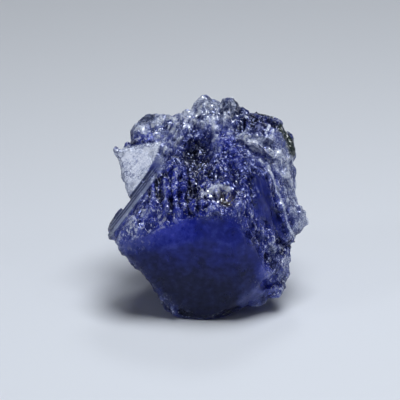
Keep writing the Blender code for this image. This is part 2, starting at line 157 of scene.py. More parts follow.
# Scratches on the light clean faces: the direction across them, a length and a detail.
SCRATCHES = ((-0.7, 0.26, 0.65), 0.2, 2.0)
SCRATCHED_TONE = (0.6, 0.8)  # between which tones they start and are full
CRACKS = (0.55, 0.06)  # how far apart they run, in millimetres, and the share of that in which each fades
# How strongly each texture lightens the stone: everywhere, on its clean faces and on its broken skin.
CLOUD_SHADE = 0.2
CLEAN_SHADES = {"mottle": 0.5, "scratches": 0.35, "grit": 0.9}
# Crest and bulge make what stands out lighter and the crevices darker: painted light and shade, and frosty
# edges on the crests.
BROKEN_SHADES = {"streak": 0.6, "large": 0.16, "grit": 0.7, "crest": 0.16, "bulge": 0.14}
CRACK_SHADE = 0.6  # how much a crack darkens it
# The shades of the slanting strip, from its lower edge to its upper one.
STRIP_SHADES = [
    (0.0, 0.5), (0.1, 0.74), (0.4, 0.7), (0.48, 0.25), (0.56, 0.7),
    (0.68, 0.64), (0.74, 0.15), (0.82, 0.74), (0.9, 0.66), (0.97, 0.4),
]
STRIP_GREYNESS = 0.8  # how much of its blue the strip loses
# The stone's colours by tone, between those of its hollows and painted shade and of its fringes.
STEEL = [(0.2, (0.015, 0.018, 0.04)), (0.4, (0.06, 0.075, 0.14)), (0.6, (0.19, 0.23, 0.37))]
ROYAL = [(0.2, (0.009, 0.012, 0.1)), (0.4, (0.02, 0.035, 0.42)), (0.6, (0.1, 0.13, 0.76))]
FRINGE_TONE = 0.8  # the tone at which it has the fringes' colour
# Frost white, which also stands for painted glints and sparkle.
FROST_AND_GLINT_TONE = 0.97  # the tone at which it is as white as frost
# What is added to the specks to make the speckle that frost and painted sparkle follow, each by its share.
SPECKLE = {"grit": 0.1, "crest": 0.08, "sparkle": 0.12, "cloud": 0.25, "streak": 0.1}
# The forms of frost, partly real frost and partly painted sparkle: patches, hair-thin chips, and glints on
# small crest faces, which are painted highlights. The pairs are the values between which each starts and is
# full, and the last number is how thick it gets.
FROST_AND_GLINT_PATCHES = (0.78, 0.84)
SPARKLE_CHIPS = {"speckle": (0.59, 0.64), "hair": (0.955, 0.99), "sparkle": 0.03, "frost_and_glint": 0.85}
GLINTS = {"face": (0.93, 0.95), "crest": (0.1, 0.35), "sparkle": 0.07, "speck": 0.3, "frost_and_glint": 0.8}
CLEAN_FROST_AND_GLINT = {"above": 0.4, "rise": 1.6}  # from which sparkle on frost also lies on clean faces
GRAINY = (0.35, 0.6)  # between which values of speck the grey pocket's grains start and are full
COVERED_TONE = (0.6, 0.95)  # between which tones light skin starts to hide the crystal and does so fully
COVER = {"light": 0.9, "frost_and_glint": 0.9, "grain": 0.8}  # how much each hides of the crystal
ROUGHNESS = {"clean": 0.3, "cloud": 0.2, "broken": 0.13}
CLEAN_MIRROR = 0.25  # the specular level of the clean faces
# How metallic frost and painted glints are.
FROST_AND_GLINT_METAL = 0.4
BUMP_STRENGTH = 0.7
RIPPLE = 0.008  # how far noise ripples the skin, in millimetres

# The studio, in metres.
FLOOR_RADIUS = 1.0
FLOOR_SIDES = 96
RIM_HEIGHT = 0.12
FLOOR_ROUGHNESS = 0.7
FLOOR_SPECULAR = 0.2
# Painted shade: the floor is darker behind the stone, for the light falling off.
FAR_FLOOR = (-0.03, 0.1)  # how far behind the stone the near floor's colour ends and the far one's is full
FLOOR_GLOW = (0.1, 0.5)  # how far from the stone the glow starts and is full
# Square lights, each with its place, its size and how bright its surface is.
LIGHTS = {
    "overhead": ((0.031, -0.028, 0.24), 0.125, 10.6),
    "left front": ((-0.175, -0.085, 0.16), 0.03, 11.0),
    "right front": ((0.17, -0.1, 0.2), 0.03, 5.0),
    "high back": ((0.03, 0.16, 0.2), 0.05, 10.0),
}
LIGHT_COLOUR = (0.94, 0.97, 1.0)
AIM = (0, 0, 0.008)  # what the lights face
SKY_COLOUR = (0.9, 0.95, 1.0, 1.0)
SKY_STRENGTH = 0.03
SENSOR_WIDTH = 36.0  # in millimetres
NEAREST_SEEN = 0.01

# Strokes on the front, each a value, a half width and the line (across, up) that it follows.
FRONT_STROKES = {
    # From 0, nearly black, to 1, frost white. Some strokes paint light and shade, as marked below.
    "tone": [
        # Painted shade: the front face is darker, most of all towards the bottom, where it turns down to the
        # floor.
        (0.30, 3.0, [(-6.0, 6.0), (4.0, 5.0)]),
        (0.33, 2.2, [(-3.4, 12.6), (2.0, 12.2)]),
        (0.17, 1.7, [(-4.4, 11.8), (-1.8, 10.6)]),
        # Painted light: the top of the front face, which turns up to the lights, is lighter.
        (0.58, 1.3, [(-7.8, 7.0), (-5.4, 8.1)]),
        (0.50, 1.5, [(-5.0, 8.2), (-1.6, 8.2)]),
        (0.46, 0.9, [(-6.0, 6.2), (-3.0, 6.9)]),
        (0.38, 1.6, [(-0.5, 7.9), (3.6, 7.0)]),
        # Painted shade: darker still towards the bottom, nearly black beside the resting flat.
        (0.23, 2.0, [(-5.2, 4.6), (-3.0, 3.4)]),
        (0.17, 2.4, [(-2.2, 2.8), (1.6, 2.0)]),
        (0.12, 1.0, [(-2.0, 0.6), (1.5, 0.6)]),
        (0.26, 1.2, [(2.0, 4.3), (4.0, 4.0)]),
        (0.50, 1.1, [(5.2, 2.6), (3.4, 1.6)]),
        (0.58, 0.9, [(4.8, 4.4), (5.8, 2.8)]),
        # Painted shade: a thin dark line along the lower left edge, whose side facets turn down to the
        # floor.
        (0.08, 0.25, [(-8.8, 7.0), (-7.2, 5.0), (-5.6, 3.0), (-4.2, 1.4)]),
        (0.60, 0.55, [(-7.2, 8.7), (-5.2, 9.6)]),
        (0.74, 0.8, [(-4.2, 15.5), (-3.0, 15.9)]),
        (0.55, 0.5, [(-4.9, 13.9), (-3.6, 14.0)]),
        (0.33, 0.9, [(-3.0, 13.8), (-2.7, 10.4)]),
        (0.10, 0.3, [(-4.6, 12.4), (-4.3, 10.2)]),
        (0.10, 0.25, [(-3.7, 12.2), (-3.4, 10.2)]),
        (0.68, 0.6, [(-4.5, 14.9), (-4.3, 13.5)]),
        (0.62, 0.16, [(-5.6, 11.8), (-5.5, 9.8)]),
        (0.62, 0.14, [(-4.95, 12.0), (-4.8, 10.3)]),
        (0.60, 0.14, [(-4.0, 12.4), (-3.85, 10.6)]),
        (0.15, 1.25, [(-1.5, 15.1), (-0.9, 13.0)]),
        (0.17, 0.9, [(-1.4, 12.6), (-2.2, 10.6)]),
        (0.48, 0.9, [(0.2, 11.4), (1.3, 10.9)]),
        (0.92, 0.28, [(0.2, 11.6), (0.9, 11.9), (1.7, 11.6)]),
        (0.20, 0.4, [(1.0, 10.9), (1.5, 10.2)]),
        (0.40, 0.9, [(1.4, 16.0), (2.1, 14.2)]),
        (0.62, 0.6, [(0.5, 17.0), (0.7, 15.0)]),
        (0.46, 0.9, [(3.0, 15.6), (3.4, 13.4)]),
        (0.70, 0.9, [(4.4, 14.8), (5.9, 13.8)]),
        (0.70, 1.0, [(-1.6, 17.8), (1.6, 17.4)]),
        (0.34, 1.2, [(4.4, 12.4), (5.1, 10.0), (6.3, 7.4)]),
        (0.55, 0.2, [(3.42, 14.6), (3.5, 12.6)]),
        (0.75, 0.8, [(2.9, 16.1), (5.0, 15.4), (7.2, 14.6)]),
        (0.70, 0.6, [(5.4, 16.5), (6.8, 15.6)]),
        (0.76, 0.45, [(4.9, 16.2), (5.8, 15.8)]),
        (0.69, 1.0, [(7.0, 13.6), (7.3, 11.0), (8.2, 9.4), (8.3, 8.6)]),
        (0.40, 0.5, [(7.2, 7.6), (8.2, 7.4)]),
        (0.85, 0.16, [(5.31, 13.5), (6.21, 11.07), (6.66, 9.99), (7.02, 8.28), (7.74, 7.2)]),
        # Painted light: the knob at the lower right is lighter in its shaded hollows and where it glints.
        (0.58, 0.8, [(5.5, 6.6), (6.6, 5.6), (6.6, 3.8)]),
        (0.74, 0.5, [(5.3, 6.3), (6.0, 5.5)]),
        (0.15, 0.3, [(6.4, 6.1), (6.8, 5.8)]),
        (0.76, 1.0, [(-0.9, 19.2), (1.6, 18.7)]),
        (0.45, 0.25, [(1.25, 19.5), (1.25, 18.2)]),
        (0.50, 0.4, [(1.5, 18.6), (1.9, 17.8)]),
        (0.72, 1.1, [(-5.8, 17.4), (-1.5, 18.2)]),
        (0.67, 0.8, [(-5.0, 16.4), (-2.8, 16.8)]),
        (0.80, 0.3, [(-2.4, 18.3), (-1.6, 18.6)]),
        (0.74, 0.6, [(-7.0, 17.3), (-6.2, 17.3)]),
        (0.50, 0.5, [(-6.3, 17.9), (-5.2, 18.1)]),
        (0.36, 0.22, [(-8.2, 15.5), (-6.2, 16.1)]),
        (0.26, 0.95, [(3.8, 17.8), (4.7, 17.1)]),
        (0.92, 0.2, [(5.4, 17.3), (5.1, 16.6)]),
        (0.90, 0.16, [(5.75, 16.9), (5.6, 16.3)]),
        (0.95, 0.16, [(3.3, 18.1), (3.45, 18.05)]),
        (0.84, 0.12, [(3.1, 16.15), (4.0, 15.8)]),
        (0.84, 0.12, [(4.5, 16.1), (5.4, 15.7)]),
        (0.84, 0.12, [(3.6, 15.3), (4.6, 14.9)]),
        (0.78, 0.12, [(5.2, 15.3), (6.2, 14.7)]),
        (0.45, 0.1, [(3.4, 15.8), (5.0, 15.2)]),
    ],
    # From 0, steel grey, to 1, royal blue.
    "blueness": [
        # Painted light: the stone's royal blue is strongest on the upper front face, where light comes
        # through it from above and behind.
        (0.75, 5.0, [(-3.0, 9.0), (4.0, 8.0)]),
        (1.00, 1.7, [(-4.4, 8.4), (-1.6, 8.2)]),
        (0.70, 0.9, [(-7.4, 7.3), (-5.4, 8.1)]),
        (0.35, 2.2, [(-2.2, 2.6), (1.6, 1.6)]),
        (0.85, 1.2, [(4.6, 4.4), (5.6, 2.6)]),
        (0.85, 1.0, [(1.4, 16.0), (2.1, 14.2)]),
        (1.00, 1.8, [(-4.0, 12.6), (-1.6, 11.0)]),
        (0.35, 0.7, [(-4.5, 14.9), (-4.3, 13.6)]),
        (0.70, 1.6, [(1.6, 12.6), (2.4, 10.0)]),
        (0.10, 1.4, [(-0.9, 19.2), (2.0, 18.7)]),
        (0.30, 1.2, [(-4.9, 17.2), (-1.5, 18.2)]),
        (0.10, 0.7, [(-7.0, 17.3), (-5.2, 18.1)]),
        (0.55, 1.0, [(4.1, 18.0), (4.9, 17.2)]),
        (0.90, 0.4, [(-8.1, 15.6), (-5.2, 16.3)]),
        (0.35, 1.1, [(7.0, 13.2), (7.5, 11.0), (8.2, 9.2), (8.0, 7.9)]),
        (0.30, 0.8, [(2.9, 16.6), (5.0, 15.7), (7.2, 14.0)]),
        # Painted light: bluer in the shaded hollows of the knob at the lower right.
        (0.50, 0.9, [(5.9, 6.0), (6.8, 5.2)]),
    ],
    # How thickly frosted specks and painted sparkle lie on the skin.
    "sparkle": [
        (0.9, 0.7, [(-7.0, 9.1), (-4.9, 9.9)]),
        (1.4, 0.9, [(-0.5, 11.4), (1.2, 11.0)]),
        (1.2, 1.0, [(-1.4, 18.8), (2.4, 18.2)]),
        (1.1, 0.9, [(-5.2, 17.0), (-1.6, 18.0)]),
        (1.2, 0.8, [(2.9, 16.2), (7.2, 14.2)]),
        (0.9, 0.8, [(7.0, 13.0), (7.6, 10.0)]),
        (0.7, 1.0, [(5.6, 7.6), (6.6, 5.4)]),
        (0.7, 0.9, [(4.6, 3.6), (6.2, 3.4)]),
        (0.85, 1.1, [(-7.6, 7.8), (-4.6, 8.6)]),
        (0.65, 0.7, [(-7.2, 6.2), (-5.4, 6.8)]),
        (0.7, 0.7, [(-2.0, 9.0), (-0.6, 9.4)]),
        (0.5, 0.5, [(-0.9, 15.6), (-0.2, 13.6)]),
        (0.1, 1.2, [(3.6, 13.4), (5.0, 9.4)]),
        (0.15, 1.5, [(-4.8, 11.6), (-2.4, 10.6)]),
        (0.2, 1.0, [(1.4, 15.0), (2.0, 12.8)]),
    ],
    # The green-black skin on the rim.
    "skin": [
        (1.0, 0.28, [(3.8, 18.8), (4.9, 18.5), (5.7, 18.1)]),
        (1.0, 0.55, [(6.5, 17.2), (7.2, 16.0), (7.6, 14.8)]),
        (0.5, 0.25, [(2.4, 19.5), (3.3, 18.9)]),
        (0.25, 0.35, [(-6.4, 17.8), (-5.0, 18.2)]),
    ],
    # The grey-brown pocket.
    "grain": [(1.0, 0.85, [(1.1, 11.0), (1.5, 10.7)])],
    # Where fine cracks run through the bright facet.
    "cracked": [(1.0, 0.7, [(-8.3, 15.0), (-8.0, 12.8)]), (0.5, 0.5, [(-7.2, 15.4), (-5.4, 15.6)])],
}
# Strokes on the back, which keep (across, up) as the front has them.
BACK_STROKES = {
    "tone": [
        (0.42, 2.6, [(-3.0, 7.5), (2.5, 8.5)]),
        (0.20, 2.0, [(-1.0, 3.0), (2.0, 2.0)]),
        (0.65, 1.2, [(-6.5, 9.0), (-5.5, 12.0)]),
        (0.70, 1.2, [(-1.0, 18.5), (2.5, 17.6)]),
        (0.60, 1.1, [(6.6, 11.5), (7.4, 9.0)]),
        (0.18, 1.3, [(1.0, 14.5), (2.5, 13.0)]),
    ],
    "blueness": [
        (0.95, 3.2, [(-2.5, 8.0), (2.0, 9.0)]),
        (0.20, 1.5, [(-1.0, 18.5), (2.5, 17.6)]),
    ],
    "sparkle": [
        (0.8, 1.2, [(-6.5, 9.0), (-5.5, 12.0)]),
        (0.8, 1.2, [(-1.0, 18.5), (2.5, 17.6)]),
    ],
    "skin": [
        (0.9, 1.3, [(4.6, 17.6), (6.6, 15.8)]),
        (0.6, 0.9, [(-2.6, 5.4), (-1.4, 6.4)]),
    ],
}
# What each mask says where no stroke lies.
UNTOUCHED = {"tone": 0.42, "blueness": 0.5, "sparkle": 0.4, "skin": 0.0, "grain": 0.0, "cracked": 0.0}


class CrystalSizes(bpy.types.PropertyGroup):
    """The sizes of the fine skin."""

    spacing: FloatProperty(
        name="Skin spacing", description="How finely the lump's skin is carved", default=0.09 * MM,
        unit="LENGTH", precision=6,
    )
    triangles: IntProperty(
        name="Triangles", description="What the finished skin is thinned to", default=190000
    )
    coarse: FloatProperty(
        name="Coarse crystals", description="Width of the larger crystal faces", default=0.85 * MM,
        unit="LENGTH", precision=6,
    )
    fine: FloatProperty(
        name="Fine crystals", description="Width of the smallest crystal faces", default=0.4 * MM,
        unit="LENGTH", precision=6,
    )


class CrystalFinish(bpy.types.PropertyGroup):
    """The colours and the clearness of the crystal."""

    # The darkest colour: deep pockets, and the painted shade at the bottom of the front face.
    hollow_and_shade: FloatVectorProperty(
        name="Hollow", description="Deep pockets", subtype="COLOR", size=3, default=(0.001, 0.0015, 0.006)
    )
    # Lavender: thin fringes, and the bright facet, whose pale colour partly stands in for the light that it
    # mirrors.
    lavender: FloatVectorProperty(
        name="Lavender", description="Thin fringes and bright facets", subtype="COLOR", size=3,
        default=(0.48, 0.53, 0.78),
    )
    silver: FloatVectorProperty(
        name="Silver", description="Thin fringes where the stone is grey", subtype="COLOR", size=3,
        default=(0.47, 0.53, 0.7),
    )
    # Frost white: broken frosty edges, and the painted glints and sparkle on the broken skin.
    frost_and_glint: FloatVectorProperty(
        name="Frost", description="Broken edges", subtype="COLOR", size=3, default=(0.82, 0.86, 1.0)
    )
    skin: FloatVectorProperty(
        name="Dark skin", description="The green-black skin on the rim", subtype="COLOR", size=3,
        default=(0.02, 0.03, 0.028),
    )
    grain: FloatVectorProperty(
        name="Grey pocket", description="The grey-brown pocket", subtype="COLOR", size=3,
        default=(0.11, 0.095, 0.09),
    )
    sheen: FloatVectorProperty(
        name="Sheen", description="What colour the clean faces mirror", subtype="COLOR", size=3,
        default=(0.3, 0.34, 0.6),
    )
    glint: FloatVectorProperty(
        name="Glint", description="What colour the broken skin mirrors", subtype="COLOR", size=3,
        default=(0.52, 0.6, 1.0),
    )
    absorbed: FloatVectorProperty(
        name="Absorption", description="What colour thick crystal turns the light", subtype="COLOR", size=3,
        default=(0.05, 0.17, 0.77),
    )
    density: FloatProperty(
        name="Absorption density", description="How fast the crystal takes up light, per metre", default=250
    )
    refraction: FloatProperty(name="Refraction", description="Index of refraction", default=1.69)
    clearness: FloatProperty(
        name="Clearness", description="Share of the light that goes in", default=0.55, subtype="FACTOR"
    )


class StudioSettings(bpy.types.PropertyGroup):
    """The floor, the lights and the camera."""

    near: FloatVectorProperty(
        name="Near floor", description="The pale floor in front of the stone", subtype="COLOR", size=3,
        default=(0.74, 0.77, 0.83),
    )
    # Painted shade: the far floor is darker, for the light falling off behind the stone.
    far: FloatVectorProperty(
        name="Far floor", description="The pale floor behind the stone", subtype="COLOR", size=3,
        default=(0.6, 0.62, 0.66),
    )
    glow: FloatVectorProperty(
        name="Floor glow", description="How brightly the floor shines far from the stone",
        subtype="COLOR", size=3, default=(0.44, 0.46, 0.5),
    )
    distance: FloatProperty(
        name="Camera distance", description="From the camera to the stone", default=0.2, unit="LENGTH"
    )
    lens: FloatProperty(name="Lens", description="Focal length in millimetres", default=200)


def smooth_step(low, high, value):
    share = np.clip((value - low) / (high - low), 0.0, 1.0)
    return share * share * (3 - 2 * share)


def distance_left(points, start, end):
    """How far points lie to the left of a straight run across the front, and below zero to its right."""
    run = np.subtract(end, start)
    offset = points[:, :2] - start
    return (run[0] * offset[:, 1] - run[1] * offset[:, 0]) / math.hypot(*run)


def distance_to_run(points, start, end):
    """How far points lie from a straight run across the front."""
    run = np.subtract(end, start)
    offset = points[:, :2] - start
    along = np.clip(offset @ run / (run @ run), 0, 1)
    return np.linalg.norm(offset - along[:, None] * run, axis=1)


def distance_to_line(points, line):
    """How far points lie from a line of straight runs."""
    return np.min([distance_to_run(points, start, end) for start, end in zip(line, line[1:])], axis=0)


def signed_distance(points, line):
    """How far points lie from a line that runs down the front: above zero to its right in the view."""
    nearest = np.full(len(points), np.inf)
    signed = np.zeros(len(points))
    for start, end in zip(line, line[1:]):
        reach = distance_to_run(points, start, end)
        side = np.sign(distance_left(points, start, end))
        signed = np.where(reach < nearest, reach * side, signed)
        nearest = np.minimum(nearest, reach)
    return signed


def inside(points, patch):
    """How far points lie inside a convex patch of the front, and below zero outside it."""
    edges = zip(patch, patch[1:] + patch[:1])
    return np.min([-distance_left(points, start, end) for start, end in edges], axis=0)


def within(points, patch, edge):
    """0 outside the patch, 1 further inside it than the edge's width and smooth between."""
    return smooth_step(0, edge, inside(points, patch))


def between(rise, fall, value):
    """1 from the end of the rise to the start of the fall, and 0 beyond both."""
    return smooth_step(*rise, value) * (1 - smooth_step(*fall, value))


def across_strip(points):
    """How far points lie across the slanting strip: 0 at its lower edge and 1 at its upper one."""
    return distance_left(points, *STRIP_LINE) / STRIP_WIDTH


def on_strip(points):
    """How much of the slanting strip each point is, from 0 to 1."""
    start, end = STRIP_LINE
    run = np.subtract(end, start)
    along = (points[:, :2] - start) @ run / (run @ run)
    return between(*STRIP_ALONG, along) * between(*STRIP_ACROSS, across_strip(points))


def noise_at(points, length, shift=0.0):
    """Smooth noise from -1 to 1 at each point, with lumps of that length."""
    return np.array([noise.noise(Vector(point)) for point in points / length + shift])


def chance(places, seed):
    """Three numbers from -1 to 1 for each place, always the same ones for the same place."""
    mixed = places @ np.array(CHANCE_MIX) + seed
    return 2 * (np.sin(mixed) * CHANCE_SCALE % 1) - 1


def crystals(points, length, stretch, shift):
    """How high small blocks of crystal, each turned by chance, stand out, in units of their length."""
    places = points / (length * np.array(stretch)) + shift
    middles = np.array([noise.voronoi(Vector(place))[1] for place in places])
    height = np.full(len(points), -np.inf)
    for middle in middles.transpose(1, 0, 2):
        side = chance(middle, 1.0)
        front = np.cross(side, chance(middle, 2.0))
        axes = (side, front, np.cross(side, front))
        away = places - middle
        reach = [np.abs(np.sum(away * axis, axis=1)) / np.linalg.norm(axis, axis=1) for axis in axes]
        height = np.maximum(height, CRYSTAL_SPREAD * chance(middle, 3.0)[:, 0] - np.max(reach, axis=0))
    return np.maximum(height, CRYSTAL_LOWEST)


def facing_front(normals):
    return smooth_step(*FACING_FRONT, normals[:, 2])


def brokenness(points, normals):
    """How broken the skin is, from 0 on a clean face to 1."""
    ragged = PATCH_FRAY["by"] * noise_at(points, PATCH_FRAY["length"], PATCH_FRAY["shift"])
    depths = [inside(points, patch) + ragged for patch in CLEAN_PATCHES.values()]
    clean = facing_front(normals) * smooth_step(0, PATCH_EDGE, np.max(depths, axis=0))
    low, high = BACK_CLEAN_UP
    up = points[:, 1]
    back = smooth_step(low - BACK_EDGE, low, up) - smooth_step(high, high + BACK_EDGE, up)
    return 1 - np.maximum(clean, back * smooth_step(*FACING_BACK, -normals[:, 2]))


def above_rest(points):
    return (points[:, 1] - REST_UP) * math.cos(VIEW_TILT) + points[:, 2] * math.sin(VIEW_TILT)


def apply_modifiers(obj):
    bpy.context.view_layer.update()
    graph = bpy.context.evaluated_depsgraph_get()
    made = bpy.data.meshes.new_from_object(obj.evaluated_get(graph))
    obj.modifiers.clear()
    obj.data = made


def wrap(obj, voxel):
    """Covers the object with an even closed skin."""
    remesh = obj.modifiers.new("wrap", "REMESH")
    remesh.mode = "VOXEL"
    remesh.voxel_size = voxel
    apply_modifiers(obj)


def thin_out(obj, triangles):
    obj.data.calc_loop_triangles()
    decimate = obj.modifiers.new("thin", "DECIMATE")
    decimate.ratio = min(1.0, triangles / len(obj.data.loop_triangles))
    decimate.use_collapse_triangulate = True
    apply_modifiers(obj)


def read_points(mesh):
    points = np.empty(len(mesh.vertices) * 3)
    mesh.vertices.foreach_get("co", points)
    normals = np.empty(len(mesh.vertices) * 3)
    mesh.vertices.foreach_get("normal", normals)
    return points.reshape(-1, 3), normals.reshape(-1, 3)


def lump_copy():
    """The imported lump, merged and laid out in millimetres."""
    mesh = bpy.data.meshes.new("tanzanite")
    solid = bmesh.new()
    solid.from_mesh(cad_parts[NODE].data)
    bmesh.ops.remove_doubles(solid, verts=solid.verts, dist=SAME_POINT)
    bmesh.ops.transform(solid, matrix=LAYOUT.inverted(), verts=solid.verts)
    solid.to_mesh(mesh)
    solid.free()
    obj = bpy.data.objects.new("tanzanite", mesh)
    bpy.context.scene.collection.objects.link(obj)
    return obj


def smooth_clean_faces(obj):
    """Takes the unevenness that the wrap leaves off the clean faces."""
    points, normals = read_points(obj.data)
    broken = brokenness(points, normals)
    solid = bmesh.new()
    solid.from_mesh(obj.data)
    solid.verts.ensure_lookup_table()
    clean = [solid.verts[index] for index in np.flatnonzero(broken < SMOOTHED_BELOW)]
    for _ in range(SMOOTHING_ROUNDS):
        bmesh.ops.smooth_vert(
            solid, verts=clean, factor=SMOOTHING_FACTOR, use_axis_x=True, use_axis_y=True, use_axis_z=True
        )
    solid.to_mesh(obj.data)
    solid.free()


def ridges(place, sharpness=1.0):
    """A row of ridges, one for each whole step of place, from 0 in the grooves to 1 on the crests."""
    return (1 - np.abs(2 * (place % 1) - 1)) ** sharpness


def crystal_heights(points, normals, sizes):
    """How far the fine crystals of the broken skin stand out."""
    bend = [noise_at(points, CRYSTAL_BEND["length"], shift) for shift in CRYSTAL_BEND["shifts"]]
    bent = points + CRYSTAL_BEND["by"] * np.column_stack(bend)
    untouched = np.full(len(points), UNTOUCHED["tone"])
    tone = brushed(points, untouched, FRONT_STROKES["tone"], facing_front(normals), 0.0)
    calmer = 1 - CALMING["by"] * smooth_step(*CALMING["tone"], tone)
    broken = brokenness(points, normals)
    height = 0.0
    for crystal, width, share in (
        (COARSE_CRYSTALS, sizes.coarse / MM, broken * calmer),
        (FINE_CRYSTALS, sizes.fine / MM, broken),
    ):
        relief = CRYSTAL_LIFT + crystals(bent, width, crystal["stretch"], crystal["shift"])
        height += share * crystal["height"] * width * relief
    return height


def fine_heights(points, normals, sizes):
    """How far the fine skin stands out of the lump."""
    across, up = points[:, 0], points[:, 1]
    front = facing_front(normals)
    wander = noise_at(points, WANDER_LENGTH)
    height = crystal_heights(points, normals, sizes)

    upright = across / FLUTES["step"] + FLUTES["wander"] * wander + FLUTES["lean"] * up
    flutes = ridges(upright, FLUTES["sharpness"])
    height += front * within(points, FLUTED, FLUTES["edge"]) * FLUTES["height"] * flutes

    offset = signed_distance(points, RIDGE_LINE)
    rings = ridges(offset / RINGS["step"] + RINGS["wander"] * wander, RINGS["sharpness"])
    past_ridge = RINGS_PAST_RIDGE["less"] * smooth_step(*RINGS_PAST_RIDGE["offset"], offset)
    beside = smooth_step(*RINGS_START, offset) - past_ridge
    height += front * beside * within(points, RINGED, RINGS["edge"]) * RINGS["height"] * rings

    slant = (STREAKS["across"] * across - STREAKS["up"] * up) / STREAKS["step"]
    streaks = ridges(slant + STREAKS["wander"] * wander)
    height += front * within(points, STREAKED, STREAKS["edge"]) * STREAKS["height"] * streaks

    lamellae = ridges(across_strip(points) * STRIP_RIDGES["count"] + STRIP_RIDGES["start"])
    height += front * on_strip(points) * STRIP_RIDGES["height"] * lamellae
    return height * smooth_step(*CLEAR_OF_REST, above_rest(points))


def carve(obj, sizes):
    points, normals = read_points(obj.data)
    moved = points + normals * fine_heights(points, normals, sizes)[:, None]
    obj.data.vertices.foreach_set("co", moved.ravel())
    obj.data.update()


def standing_out(mesh, rounds):
    """How far each point stands out of the surface that so many rounds of smoothing leave."""
    points, normals = read_points(mesh)
    edges = np.empty(len(mesh.edges) * 2, dtype=int)
    mesh.edges.foreach_get("vertices", edges)
    start, end = edges.reshape(-1, 2).T
    ends, starts = np.concatenate([start, end]), np.concatenate([end, start])
    neighbours = np.bincount(ends, minlength=len(points))
    smooth = points
    for _ in range(rounds):
        sums = [np.bincount(ends, smooth[starts, axis], len(points)) for axis in range(3)]
        smooth = np.column_stack(sums) / neighbours[:, None]
    return np.sum((points - smooth) * normals, axis=1)


def brushed(points, value, strokes, limit, ragged):
    """The value at each point after the strokes, which lie over one another."""
    for target, half_width, line in strokes:
        reach = distance_to_line(points, line) / half_width + ragged
        value = value + limit * (1 - smooth_step(*STROKE_EDGE, reach)) * (target - value)
    return value


def paint(obj, name, values):
    layer = obj.data.attributes.new(name, "FLOAT", "POINT")
    layer.data.foreach_set("value", values.astype(np.float32))


def paint_masks(obj):
    """Writes the strokes and the shape of the skin on the mesh, for the material to read."""
    points, normals = read_points(obj.data)
    front = facing_front(normals)
    back = facing_front(-normals)
    ragged = sum(strength * noise_at(points, length) for strength, length in STROKE_FRAY)
    for name, untouched in UNTOUCHED.items():
        value = np.full(len(points), untouched)
        value = brushed(points, value, BACK_STROKES.get(name, []), back, ragged)
        value = brushed(points, value, FRONT_STROKES[name], front, ragged)
        # Painted sheen: the bright facet is filled pale, partly for the light that it mirrors.
        if name in FACET_TINT_AND_SHEEN:
            value += (FACET_TINT_AND_SHEEN[name] - value) * front * within(points, FACET, FACET_EDGE)
        paint(obj, name, value)
    for name, (rounds, full) in STANDING_OUT.items():
        paint(obj, name, np.clip(standing_out(obj.data, rounds) / full, -1, 1))
    paint(obj, "broken", brokenness(points, normals))
    paint(obj, "strip", front * on_strip(points))
    paint(obj, "across", across_strip(points))


class Field:
    """A value that varies over the surface, with the arithmetic that shader maths needs."""

    def __init__(self, nodes, socket):
        self.nodes = nodes
        self.socket = socket

    def maths(self, operation, first, second=0.0):
        return self.nodes.make("ShaderNodeMath", {"operation": operation}, {0: first, 1: second})

    def __add__(self, other):
        return self.maths("ADD", self, other)

    def __radd__(self, other):
        return self.maths("ADD", other, self)

    def __sub__(self, other):
        return self.maths("SUBTRACT", self, other)

    def __rsub__(self, other):
        return self.maths("SUBTRACT", other, self)

    def __mul__(self, other):
        return self.maths("MULTIPLY", self, other)

    def __rmul__(self, other):
        return self.maths("MULTIPLY", other, self)

    def larger(self, other):
        return self.maths("MAXIMUM", self, other)

    def apart(self, middle):
        """How far this value is from the middle one, to either side."""
        return self.maths("ABSOLUTE", self - middle)

    def rising(self, low, high):
        """0 below low, 1 above high and smooth between."""
        settings = {"interpolation_type": "SMOOTHSTEP"}
        return self.nodes.make("ShaderNodeMapRange", settings, {0: self, 1: low, 2: high})

    def coloured(self, stops):
        """The colour that a ramp gives this value."""
        return self.nodes.make("ShaderNodeValToRGB", {"stops": stops}, {0: self})

    def shaded(self, stops):
        """The shade that a ramp of greys gives this value."""
        greys = self.coloured([(position, (grey, grey, grey)) for position, grey in stops])
        return self.nodes.make("ShaderNodeRGBToBW", {}, {0: greys})


